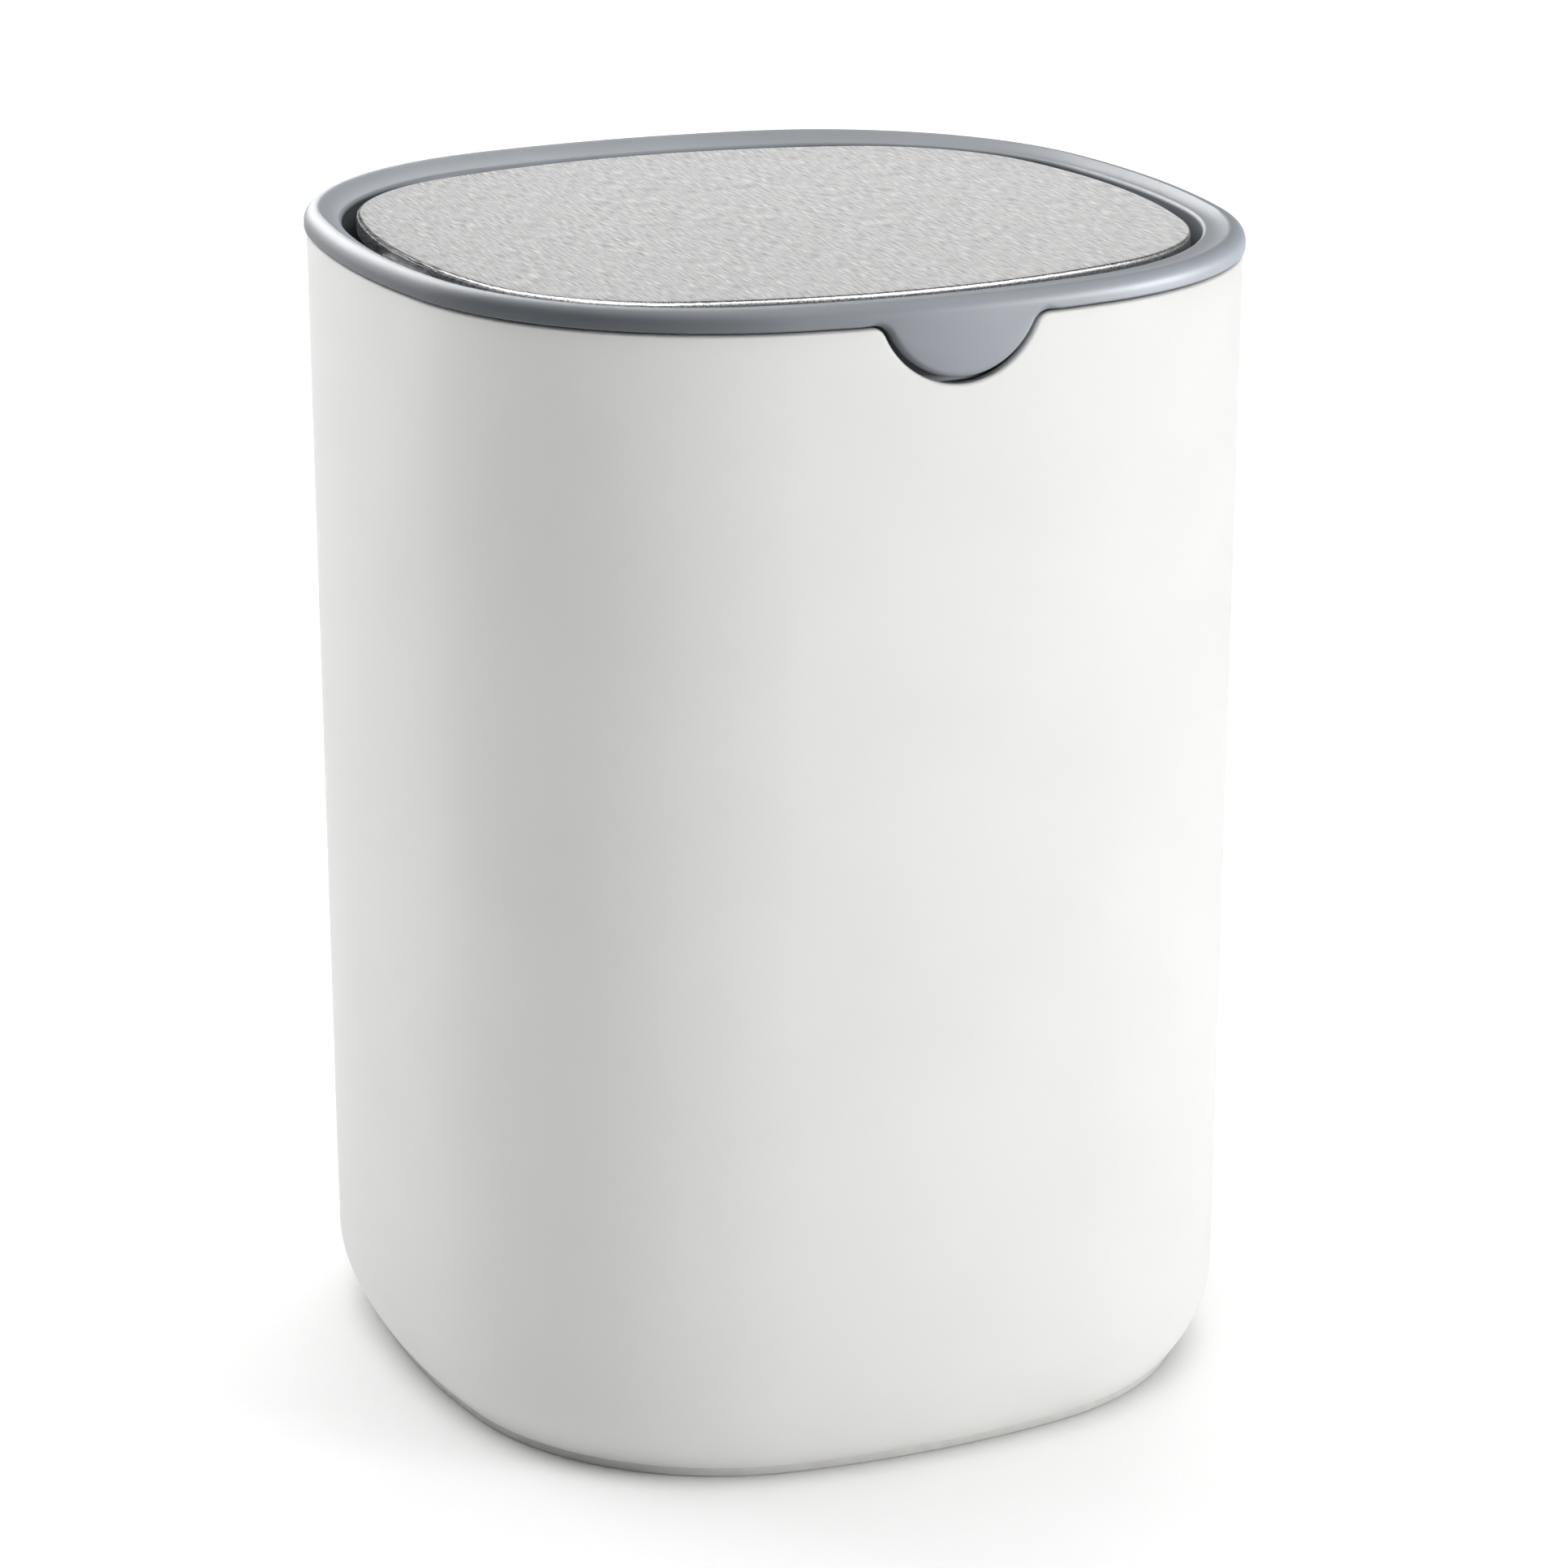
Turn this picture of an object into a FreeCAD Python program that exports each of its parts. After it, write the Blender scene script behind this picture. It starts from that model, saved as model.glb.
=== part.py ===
import FreeCAD, Part
import math
import os

# Mini waste bin: a moulded shell on a foot ring, a lift-off lid ring with a pull tab,
# and a counter-weighted steel flap that swings in the ring on two pins.
# Millimetres. Origin on the floor under the middle, +Z up, the pull tab on the -Y side.

# Body shell
overall_height = 200.0
body_half_width = 74.75
side_bow_radius = 163.0
corner_radius = 55.7
body_draft = 0.8
body_wall = 2.2
floor_thickness = 2.4
bottom_radius = 21.0
bottom_inset = 5.2
rim_rounding = 0.6

# Foot ring
foot_height = 2.0
foot_inset = 6.7
foot_width = 6.0
foot_groove_depth = 1.0
foot_fit = 0.1

# Lid ring
ring_height = 3.4
ring_overhang = 0.4
ring_edge_radius = 2.2
ring_crest_width = 0.4
land_drop = 1.3
land_side_width = 5.5
land_front_width = 10.25
opening_bow_radius = 149.5
opening_corner_radius = 49.9
skirt_depth = 10.5
skirt_wall = 1.6
skirt_clearance = 0.4
seat_gap = 0.3

# Pull tab and the notch it hangs in
tab_radius = 14.0
tab_depth = 9.35
tab_fillet = 3.05
tab_thickness = 2.0
tab_side_gap = 0.3
tab_bottom_gap = 0.8

# Flap: steel cover, adhesive strips and plastic carrier
flap_side_gap = 2.75
flap_front_gap = 3.45
flap_bow_radius = 121.5
flap_corner_radius = 38.1
flap_drop = 0.6
cover_sheet = 0.6
cover_edge_radius = 1.4
cover_rim_depth = 3.6
strip_thickness = 0.5
strip_width = 18.0
strip_end_inset = 22.0
strip_edge_inset = 21.6
carrier_thickness = 2.0
carrier_fit = 0.1
rib_height = 4.0
rib_wall = 1.6
rib_edge_inset = 26.6
rib_end_gap = 3.0

# Pivot: pins in the carrier's ears, flanged bushes between the ring's lugs and screwed keepers
pivot_drop = 9.0
swing_limit = math.radians(80.0)
swing_clearance = 0.6
pin_radius = 2.0
pin_clearance = 0.05
pin_fit = 0.02
pin_inset = 0.8
bush_wall = 1.0
bush_fit = 0.02
bush_flange = 1.2
end_play = 0.3
ear_thickness = 4.5
ear_wall = 3.2
ear_half_length = 12.0
lug_half_length = 10.0
keeper_fit = 0.1
keeper_margin = 1.0
stop_peg_radius = 2.0
stop_peg_gap = 1.8
stop_clearance = 0.3
stop_peg_overlap = 3.1
keeper_screw_radius = 1.0
keeper_screw_head_radius = 1.9
keeper_screw_head = 1.5
keeper_screw_spacing = 14.0
keeper_screw_bite = 4.8
screw_fit = 0.02
screw_hole_clearance = 0.15
screw_head_clearance = 0.1
screw_tip_gap = 0.4

# Counterweight bar under the flap
weight_drop = 12.0
weight_height = 10.0
weight_depth = 14.0
weight_end_gap = 6.5
post_radius = 5.0
post_end_inset = 15.1
weight_screw_radius = 1.5
weight_screw_head_radius = 2.9
weight_screw_head = 2.2
weight_screw_bite = 8.0

# One overrun for cuts, and the tolerance that edges are picked with
overrun = 5.0
pick_tolerance = 1e-4

# Heights and places that several pieces share
seam_height = overall_height - ring_height
rim_height = seam_height - seat_gap
opening_half_width = body_half_width + ring_overhang - land_side_width
opening_half_depth = body_half_width + ring_overhang - land_front_width
flap_half_width = opening_half_width - flap_side_gap
flap_half_depth = opening_half_depth - flap_front_gap
flap_top = overall_height - flap_drop
cover_rim_bottom = flap_top - cover_rim_depth
carrier_top = flap_top - cover_sheet - strip_thickness
carrier_bottom = carrier_top - carrier_thickness
pivot_height = overall_height - pivot_drop
bush_radius = pin_radius + pin_clearance + bush_wall
bush_flange_radius = cover_rim_bottom - pivot_height - swing_clearance
lug_face = flap_half_width + swing_clearance
bush_face = lug_face - bush_flange
ear_outer_face = bush_face - end_play
ear_inner_face = ear_outer_face - ear_thickness
ear_radius = pin_radius + ear_wall
stop_peg_drop = ear_radius + stop_peg_gap + stop_peg_radius
ear_shoulder_height = stop_peg_radius + stop_clearance - stop_peg_drop * math.cos(swing_limit)
keeper_bottom = pivot_height - stop_peg_drop - stop_peg_radius - keeper_margin
weight_half_length = ear_inner_face - weight_end_gap
weight_top = pivot_height - weight_drop + weight_height / 2
weight_bottom = weight_top - weight_height

X = FreeCAD.Vector(1, 0, 0)
Y = FreeCAD.Vector(0, 1, 0)
Z = FreeCAD.Vector(0, 0, 1)
SIDES = {"left": -1, "right": 1}


class Outline:
    """A bowed square in plan: four shallow side arcs joined by four tighter corner arcs."""

    def __init__(self, half_width, half_depth, bow_radius, corner):
        self.half_width = half_width
        self.half_depth = half_depth
        self.bow_radius = bow_radius
        self.corner = corner

    def inset(self, distance):
        """The parallel outline, this far inside this one, or outside it if negative."""
        sizes = (self.half_width, self.half_depth, self.bow_radius, self.corner)
        return Outline(*(size - distance for size in sizes))

    def quarter(self):
        """End of the side arc, middle of the corner arc and start of the front arc in one quarter."""
        side_x = self.half_width - self.bow_radius
        front_y = self.half_depth - self.bow_radius
        apart = math.hypot(side_x, front_y)
        rise = math.sqrt((self.bow_radius - self.corner) ** 2 - (apart / 2) ** 2)
        corner_x = side_x / 2 - rise * front_y / apart
        corner_y = front_y / 2 - rise * side_x / apart
        side_angle = math.atan2(corner_y, corner_x - side_x)
        front_angle = math.atan2(corner_y - front_y, corner_x)
        middle_angle = (side_angle + front_angle) / 2

        def on_corner(angle):
            return corner_x + self.corner * math.cos(angle), corner_y + self.corner * math.sin(angle)

        return on_corner(side_angle), on_corner(middle_angle), on_corner(front_angle)

    def wire(self, height):
        """The closed line of eight arcs at this height."""
        side_end, middle, front_end = self.quarter()
        points = [(self.half_width, 0), side_end, middle, front_end, (0, self.half_depth)]
        points += [(-x, y) for x, y in reversed(points[:-1])]
        points += [(x, -y) for x, y in reversed(points[1:-1])]
        corners = [FreeCAD.Vector(x, y, height) for x, y in points]
        corners = corners[-1:] + corners[:-1]
        edges = []
        for start in range(0, len(corners), 2):
            end = corners[(start + 2) % len(corners)]
            edges.append(Part.Arc(corners[start], corners[start + 1], end).toShape())
        return Part.Wire(edges)

    def slab(self, low, high):
        """A straight block of this plan between two heights."""
        return Part.Face(self.wire(low)).extrude(Z * (high - low))

    def band(self, width, low, high):
        """A straight wall of this plan, as thick inwards as the width."""
        return self.slab(low, high).cut(self.inset(width).slab(low - overrun, high + overrun))


def block(low, high):
    """A box between two corners."""
    size = FreeCAD.Vector(*high) - FreeCAD.Vector(*low)
    return Part.makeBox(size.x, size.y, size.z, FreeCAD.Vector(*low))


def side_block(side, inner, outer, half_length, low, high):
    """A box on the left or right, between two distances from the middle."""
    near, far = sorted((side * inner, side * outer))
    return block((near, -half_length, low), (far, half_length, high))


def level_edges(shape, height):
    """The edges of a shape that lie all at one height."""
    def lies_there(edge):
        box = edge.BoundBox
        return abs(box.ZMin - height) < pick_tolerance and abs(box.ZMax - height) < pick_tolerance
    return [edge for edge in shape.Edges if lies_there(edge)]


def side_cylinder(side, radius, inner, outer, height):
    """A round bar along X on the left or right, between two distances from the middle."""
    return Part.makeCylinder(radius, outer - inner, FreeCAD.Vector(side * inner, 0, height), X * side)


def upright(radius, x, y, low, high):
    """A round bar along Z."""
    return Part.makeCylinder(radius, high - low, FreeCAD.Vector(x, y, low), Z)


body_outline = Outline(body_half_width, body_half_width, side_bow_radius, corner_radius)
base_outline = body_outline.inset(body_draft)
ring_outline = body_outline.inset(-ring_overhang)
skirt_outline = body_outline.inset(body_wall + skirt_clearance)
opening_outline = Outline(opening_half_width, opening_half_depth, opening_bow_radius, opening_corner_radius)
flap_outline = Outline(flap_half_width, flap_half_depth, flap_bow_radius, flap_corner_radius)
carrier_outline = flap_outline.inset(cover_sheet + carrier_fit)


def tub(depth_inside, low, top):
    """The body's form, or its hollow, with the large bottom rounding cut off flat at its low end."""
    rounding = bottom_radius - depth_inside
    drop = math.sqrt(bottom_radius ** 2 - (bottom_radius - bottom_inset) ** 2)
    arc_bottom = foot_height + drop - rounding
    lower = base_outline.inset(depth_inside).wire(arc_bottom)
    upper = body_outline.inset(depth_inside).wire(top)
    form = Part.makeLoft([lower, upper], True, True)
    form = form.makeFillet(rounding, level_edges(form, arc_bottom))
    reach = body_half_width + overrun
    return form.cut(block((-reach, -reach, arc_bottom - overrun), (reach, reach, low)))


def tab_face(radius, bottom, fillet, shoulder, top):
    """The front view of the tab or its notch: a half round let into a level edge by two fillets."""
    centre = bottom + radius
    fillet_height = shoulder - fillet
    fillet_x = math.sqrt((radius + fillet) ** 2 - (centre - fillet_height) ** 2)
    touch_x = fillet_x * radius / (radius + fillet)
    touch_height = centre + (fillet_height - centre) * radius / (radius + fillet)
    bend = math.atan2(touch_height - fillet_height, touch_x - fillet_x)
    half_bend = (bend + math.pi / 2) / 2
    bend_x = fillet_x + fillet * math.cos(half_bend)
    bend_height = fillet_height + fillet * math.sin(half_bend)

    def at(x, height):
        return FreeCAD.Vector(x, 0, height)

    edges = [
        Part.LineSegment(at(-fillet_x, top), at(-fillet_x, shoulder)).toShape(),
        Part.Arc(at(-fillet_x, shoulder), at(-bend_x, bend_height), at(-touch_x, touch_height)).toShape(),
        Part.Arc(at(-touch_x, touch_height), at(0, bottom), at(touch_x, touch_height)).toShape(),
        Part.Arc(at(touch_x, touch_height), at(bend_x, bend_height), at(fillet_x, shoulder)).toShape(),
        Part.LineSegment(at(fillet_x, shoulder), at(fillet_x, top)).toShape(),
        Part.LineSegment(at(fillet_x, top), at(-fillet_x, top)).toShape(),
    ]
    return Part.Face(Part.Wire(edges))


def outer_body():
    """White moulded shell with a large rounded bottom and the notch for the pull tab."""
    shell = tub(0, foot_height, rim_height)
    shell = shell.cut(tub(body_wall, foot_height + floor_thickness, rim_height + overrun))
    shell = shell.makeFillet(rim_rounding, level_edges(shell, rim_height))
    notch_bottom = seam_height - tab_depth - tab_bottom_gap
    notch_top = rim_height + overrun
    notch_radius = tab_radius + tab_side_gap
    notch = tab_face(notch_radius, notch_bottom, tab_fillet - tab_side_gap, rim_height, notch_top)
    shell = shell.cut(notch.extrude(-Y * (body_half_width + overrun)))
    groove = base_outline.inset(foot_inset - foot_fit)
    groove_width = foot_width + 2 * foot_fit
    return shell.cut(groove.band(groove_width, foot_height - overrun, foot_height + foot_groove_depth))


def foot_ring():
    """Non-slip ring pressed into a groove under the base, which the bin stands on."""
    return base_outline.inset(foot_inset).band(foot_width, 0, foot_height + foot_groove_depth)


def keeper_screw_places(side):
    """Plan positions of the two screws of one keeper."""
    middle = side * (lug_face + skirt_outline.half_width) / 2
    return [(middle, y) for y in (-keeper_screw_spacing / 2, keeper_screw_spacing / 2)]


def keeper_screw_bottom():
    """Height of the keeper screws' heads, sunk in the keeper's underside."""
    return keeper_bottom + keeper_screw_head + screw_head_clearance


def bush_hole(side, outer):
    """The round seat of one pivot bush, half in the lug and half in the keeper."""
    return side_cylinder(side, bush_radius + bush_fit, lug_face - overrun, outer, pivot_height)


def lid_ring():
    """Grey lid moulding: rounded rim, sloping land, skirt in the body's mouth, bearing lugs and tab."""
    plate = ring_outline.slab(seam_height, overall_height)
    plate = plate.makeFillet(ring_edge_radius, level_edges(plate, overall_height))
    land_outline = ring_outline.inset(ring_edge_radius + ring_crest_width)
    land_low = overall_height - land_drop
    dish = Part.makeLoft([opening_outline.wire(land_low), land_outline.wire(overall_height)], True, True)
    hole = opening_outline.slab(seam_height - skirt_depth - overrun, overall_height + overrun)
    plate = plate.cut(dish).cut(hole)
    skirt_bottom = seam_height - skirt_depth
    skirt = skirt_outline.band(skirt_wall, skirt_bottom, seam_height)
    curb = opening_outline.inset(-skirt_wall).slab(skirt_bottom, seam_height)
    curb = curb.common(skirt_outline.slab(skirt_bottom, seam_height))
    ring = plate.fuse(skirt).fuse(curb.cut(hole))
    lug_form = skirt_outline.slab(keeper_bottom, seam_height)
    far = body_half_width + overrun
    for side in SIDES.values():
        lug = side_block(side, lug_face, far, lug_half_length, pivot_height, seam_height)
        ring = ring.fuse(lug.common(lug_form))
        pocket_length = lug_half_length + keeper_fit
        pocket_bottom = skirt_bottom - overrun
        ring = ring.cut(side_block(side, lug_face - overrun, far, pocket_length, pocket_bottom, pivot_height))
        ring = ring.cut(bush_hole(side, far))
        pilot_top = pivot_height + keeper_screw_bite + screw_tip_gap
        for x, y in keeper_screw_places(side):
            ring = ring.cut(upright(keeper_screw_radius + screw_fit, x, y, pivot_height - overrun, pilot_top))
    tab_top = seam_height + ring_height - ring_edge_radius
    tab = tab_face(tab_radius, seam_height - tab_depth, tab_fillet, seam_height, tab_top)
    tab = tab.extrude(-Y * (body_half_width + overrun))
    tab = tab.common(ring_outline.band(tab_thickness, seam_height - tab_depth - overrun, tab_top))
    return ring.fuse(tab).removeSplitter()


def pivot_keeper(side):
    """Cap under one lug that closes the bush's seat and carries the flap's stop peg."""
    keeper = side_block(side, lug_face, body_half_width, lug_half_length, keeper_bottom, pivot_height)
    keeper = keeper.common(skirt_outline.slab(keeper_bottom, pivot_height))
    peg_inner = ear_outer_face - stop_peg_overlap
    peg_outer = skirt_outline.half_width - skirt_wall
    peg_height = pivot_height - stop_peg_drop
    keeper = keeper.fuse(side_cylinder(side, stop_peg_radius, peg_inner, peg_outer, peg_height))
    keeper = keeper.cut(bush_hole(side, body_half_width + overrun))
    shank_hole = keeper_screw_radius + screw_hole_clearance
    head_hole = keeper_screw_head_radius + screw_head_clearance
    for x, y in keeper_screw_places(side):
        keeper = keeper.cut(upright(shank_hole, x, y, keeper_bottom - overrun, pivot_height + overrun))
        keeper = keeper.cut(upright(head_hole, x, y, keeper_bottom - overrun, keeper_screw_bottom()))
    return keeper


def pivot_bush(side):
    """Flanged plain bearing that one pin turns in."""
    outer = skirt_outline.half_width - skirt_wall / 2
    bush = side_cylinder(side, bush_radius, lug_face, outer, pivot_height)
    bush = bush.fuse(side_cylinder(side, bush_flange_radius, bush_face, lug_face, pivot_height))
    bore = side_cylinder(side, pin_radius + pin_clearance, bush_face - overrun, outer + overrun, pivot_height)
    return bush.cut(bore)


def keeper_screws():
    """The screws that hold both keepers up against the lugs."""
    head_top = keeper_screw_bottom()
    screws = []
    for side in SIDES.values():
        for x, y in keeper_screw_places(side):
            head = upright(keeper_screw_head_radius, x, y, head_top - keeper_screw_head, head_top)
            shank = upright(keeper_screw_radius, x, y, head_top, pivot_height + keeper_screw_bite)
            screws.append(head.fuse(shank))
    return Part.makeCompound(screws)


def flap_cover():
    """Brushed steel pressing with a turned-down rim."""
    pan = flap_outline.slab(cover_rim_bottom, flap_top)
    pan = pan.makeFillet(cover_edge_radius, level_edges(pan, flap_top))
    ceiling = flap_top - cover_sheet
    hollow = flap_outline.inset(cover_sheet).slab(cover_rim_bottom - overrun, ceiling)
    hollow = hollow.makeFillet(cover_edge_radius - cover_sheet, level_edges(hollow, ceiling))
    return pan.cut(hollow)


def adhesive_strips():
    """Two strips of double-sided tape that bond the cover to the carrier."""
    strips = []
    half_length = flap_half_width - strip_end_inset
    middle = flap_half_depth - strip_edge_inset - strip_width / 2
    for y in (-middle, middle):
        low = (-half_length, y - strip_width / 2, carrier_top)
        high = (half_length, y + strip_width / 2, carrier_top + strip_thickness)
        strips.append(block(low, high))
    return Part.makeCompound(strips)


def weight_post_places():
    """Positions along X of the posts that carry the counterweight."""
    place = weight_half_length - post_end_inset
    return (-place, place)


def flap_carrier():
    """Plastic plate inside the cover, with pin ears, stiffening ribs and counterweight posts."""
    carrier = carrier_outline.slab(carrier_bottom, carrier_top)
    ear_form = carrier_outline.slab(pivot_height - ear_radius - overrun, carrier_top)
    shoulder = pivot_height + ear_shoulder_height
    for side in SIDES.values():
        ear = side_block(side, ear_inner_face, ear_outer_face, ear_half_length, shoulder, carrier_bottom)
        stem = side_block(side, ear_inner_face, ear_outer_face, ear_radius, pivot_height, carrier_bottom)
        eye = side_cylinder(side, ear_radius, ear_inner_face, ear_outer_face, pivot_height)
        bore_end = ear_outer_face + overrun
        bore = side_cylinder(side, pin_radius + pin_fit, ear_inner_face - overrun, bore_end, pivot_height)
        ear = ear.fuse(stem).fuse(eye).cut(bore)
        carrier = carrier.fuse(ear.common(ear_form))
    rib_half_length = ear_inner_face - rib_end_gap
    rib_place = flap_half_depth - rib_edge_inset
    for y in (-rib_place, rib_place):
        low = (-rib_half_length, y - rib_wall / 2, carrier_bottom - rib_height)
        high = (rib_half_length, y + rib_wall / 2, carrier_bottom)
        carrier = carrier.fuse(block(low, high).common(ear_form))
    pilot_top = weight_top + weight_screw_bite + screw_tip_gap
    for x in weight_post_places():
        carrier = carrier.fuse(upright(post_radius, x, 0, weight_top, carrier_bottom))
        carrier = carrier.cut(upright(weight_screw_radius + screw_fit, x, 0, weight_top - overrun, pilot_top))
    return carrier.removeSplitter()


def pivot_pin(side):
    """Steel pin pressed through one ear and turning in one bush."""
    outer = skirt_outline.half_width - pin_inset
    return side_cylinder(side, pin_radius, ear_inner_face, outer, pivot_height)


def counterweight():
    """Steel bar that hangs below the pivot and brings the flap back level."""
    half_depth = weight_depth / 2
    low = (-weight_half_length, -half_depth, weight_bottom)
    high = (weight_half_length, half_depth, weight_top)
    bar = block(low, high)
    shank_hole = weight_screw_radius + screw_hole_clearance
    head_hole = weight_screw_head_radius + screw_head_clearance
    head_top = weight_bottom + weight_screw_head + screw_head_clearance
    for x in weight_post_places():
        bar = bar.cut(upright(shank_hole, x, 0, weight_bottom - overrun, weight_top + overrun))
        bar = bar.cut(upright(head_hole, x, 0, weight_bottom - overrun, head_top))
    return bar


def counterweight_screws():
    """The screws that hold the bar up against its posts."""
    head_top = weight_bottom + weight_screw_head + screw_head_clearance
    screws = []
    for x in weight_post_places():
        head = upright(weight_screw_head_radius, x, 0, head_top - weight_screw_head, head_top)
        screws.append(head.fuse(upright(weight_screw_radius, x, 0, head_top, weight_top + weight_screw_bite)))
    return Part.makeCompound(screws)


pieces = {
    "outer_body": outer_body(),
    "foot_ring": foot_ring(),
    "lid_ring": lid_ring(),
    "keeper_screws": keeper_screws(),
    "flap_cover": flap_cover(),
    "adhesive_strips": adhesive_strips(),
    "flap_carrier": flap_carrier(),
    "counterweight": counterweight(),
    "counterweight_screws": counterweight_screws(),
}
for name, side in SIDES.items():
    pieces["pivot_keeper_" + name] = pivot_keeper(side)
    pieces["pivot_bush_" + name] = pivot_bush(side)
    pieces["pivot_pin_" + name] = pivot_pin(side)

os.makedirs("parts", exist_ok=True)
for name, shape in pieces.items():
    shape.exportStep("parts/" + name + ".step")
    print(name, "solids", len(shape.Solids), "valid", shape.isValid(), "volume", round(shape.Volume, 1))
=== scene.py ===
# %% [markdown]
# # A small swing-lid waste bin
# The real object is a worktop bin of about three litres: a white moulded shell on a low foot ring,
# a blue-grey lid ring with a half-round pull tab, and a brushed steel flap that swings in the ring.
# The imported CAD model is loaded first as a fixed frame. Every piece made here is in metres, in that
# frame, and rides on the CAD body that it belongs to.

import math

import bmesh
import bpy
from mathutils import Matrix, Vector


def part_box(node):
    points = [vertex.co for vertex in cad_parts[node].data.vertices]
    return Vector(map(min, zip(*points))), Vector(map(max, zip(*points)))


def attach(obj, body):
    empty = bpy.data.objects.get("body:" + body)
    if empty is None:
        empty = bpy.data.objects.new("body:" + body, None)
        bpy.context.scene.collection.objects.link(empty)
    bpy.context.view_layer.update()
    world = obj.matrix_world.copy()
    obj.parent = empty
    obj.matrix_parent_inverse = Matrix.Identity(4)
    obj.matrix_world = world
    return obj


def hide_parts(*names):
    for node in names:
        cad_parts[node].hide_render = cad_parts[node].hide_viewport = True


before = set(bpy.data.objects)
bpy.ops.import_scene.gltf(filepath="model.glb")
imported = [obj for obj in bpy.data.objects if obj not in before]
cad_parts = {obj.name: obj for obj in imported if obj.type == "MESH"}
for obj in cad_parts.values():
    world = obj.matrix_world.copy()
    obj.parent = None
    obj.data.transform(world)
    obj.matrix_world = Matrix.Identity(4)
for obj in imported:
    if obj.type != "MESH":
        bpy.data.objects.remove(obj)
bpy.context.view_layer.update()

# %% [markdown]
# ## The plan of the bin
# Seen from above, the shell, the opening and the flap are all bowed squares: four shallow side arcs
# joined by four tighter corner arcs. They could be drawn as curves and filled, but the walls, rims
# and roundings all run parallel to these plans, so one function that says how far out a plan reaches
# in a given direction serves every piece. A plan is its half width, half depth, bow and corner radius.

# %% Plans and where they reach
mm = 0.001
shell_plan = (74.75 * mm, 74.75 * mm, 163.0 * mm, 55.7 * mm)
opening_plan = (69.65 * mm, 64.9 * mm, 149.5 * mm, 49.9 * mm)
flap_plan = (66.9 * mm, 62.3 * mm, 121.5 * mm, 38.1 * mm)


def plan_reach(plan, inset, angle):
    """Distance from the bin's middle to the line that runs this far inside a plan, at this angle."""
    half_width, half_depth, bow, corner = (size - inset for size in plan)
    side_x, front_y = half_width - bow, half_depth - bow
    apart = math.hypot(side_x, front_y)
    rise = math.sqrt((bow - corner) ** 2 - (apart / 2) ** 2)
    corner_x = side_x / 2 - rise * front_y / apart
    corner_y = front_y / 2 - rise * side_x / apart
    side_turn = math.atan2(corner_y, corner_x - side_x)
    front_turn = math.atan2(corner_y - front_y, corner_x)

    def seen_at(join):
        """Angle from the bin's middle to the place where the corner arc meets a side arc."""
        return math.atan2(corner_y + corner * math.sin(join), corner_x + corner * math.cos(join))

    across, along = abs(math.cos(angle)), abs(math.sin(angle))
    turn = math.atan2(along, across)
    centre_x, centre_y, radius = corner_x, corner_y, corner
    if turn < seen_at(side_turn):
        centre_x, centre_y, radius = side_x, 0.0, bow
    elif turn > seen_at(front_turn):
        centre_x, centre_y, radius = 0.0, front_y, bow
    middle = centre_x * across + centre_y * along
    return middle + math.sqrt(middle ** 2 - centre_x ** 2 - centre_y ** 2 + radius ** 2)


reaches = [plan_reach(shell_plan, 0, math.radians(degrees)) for degrees in (0, 22, 45)]
print("shell reaches, mm:", [round(reach / mm, 2) for reach in reaches])

# %% [markdown]
# ## Columns round the bin
# Each round piece is a stack of closed loops with the same number of vertices, so that they join
# into clean four-sided faces. The vertices stand in columns on rays from the middle. They are close
# together at the front, where the tab and its notch have tight curves, and further apart elsewhere.

# %% Columns
front_angle = math.radians(-90)
fine_half_angle = math.radians(13.2)
fine_columns, coarse_columns = 112, 208

fine_step = 2 * fine_half_angle / fine_columns
coarse_step = (2 * math.pi - 2 * fine_half_angle) / coarse_columns
columns = [front_angle - fine_half_angle + fine_step * i for i in range(fine_columns)]
columns += [front_angle + fine_half_angle + coarse_step * i for i in range(coarse_columns)]


def plan_line(plan, inset, height):
    """One loop of points inside a plan. Inset may depend on the height, and height on the place."""
    points = []
    for angle in columns:
        level = 0.0 if callable(height) else height
        out = plan_reach(plan, inset(level) if callable(inset) else inset, angle)
        if callable(height):
            level = height(out * math.cos(angle), out * math.sin(angle))
            out = plan_reach(plan, inset(level) if callable(inset) else inset, angle)
        points.append(Vector((out * math.cos(angle), out * math.sin(angle), level)))
    return points


def quarter(steps):
    """Sine and cosine at even steps through a quarter turn."""
    turns = [math.radians(90) * i / steps for i in range(steps + 1)]
    return [(math.sin(turn), math.cos(turn)) for turn in turns]


print(len(columns), "columns,", round(fine_step * shell_plan[0] / mm, 2), "mm apart at the front")

# %% [markdown]
# ## Raising a piece loop by loop
# By hand, one would add a circle, pull it to the first line of the section, extrude it, pull the new
# loop to the next line, and so on up the wall. This function does the same: a circle is added, and
# each extruded loop is laid on the next line. Its vertices know their column by a number that
# extruding copies. A piece either closes on itself like a ring or is capped at both ends.

# %% The loop-by-loop function
merge_distance = 1e-6


def lay_selected(piece, points):
    """Lay the selected loop on a line, each vertex on its own column."""
    edited = bmesh.from_edit_mesh(piece.data)
    column = edited.verts.layers.int["column"]
    for vertex in edited.verts:
        if vertex.select:
            vertex.co = points[vertex[column]]
    bmesh.update_edit_mesh(piece.data)


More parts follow.
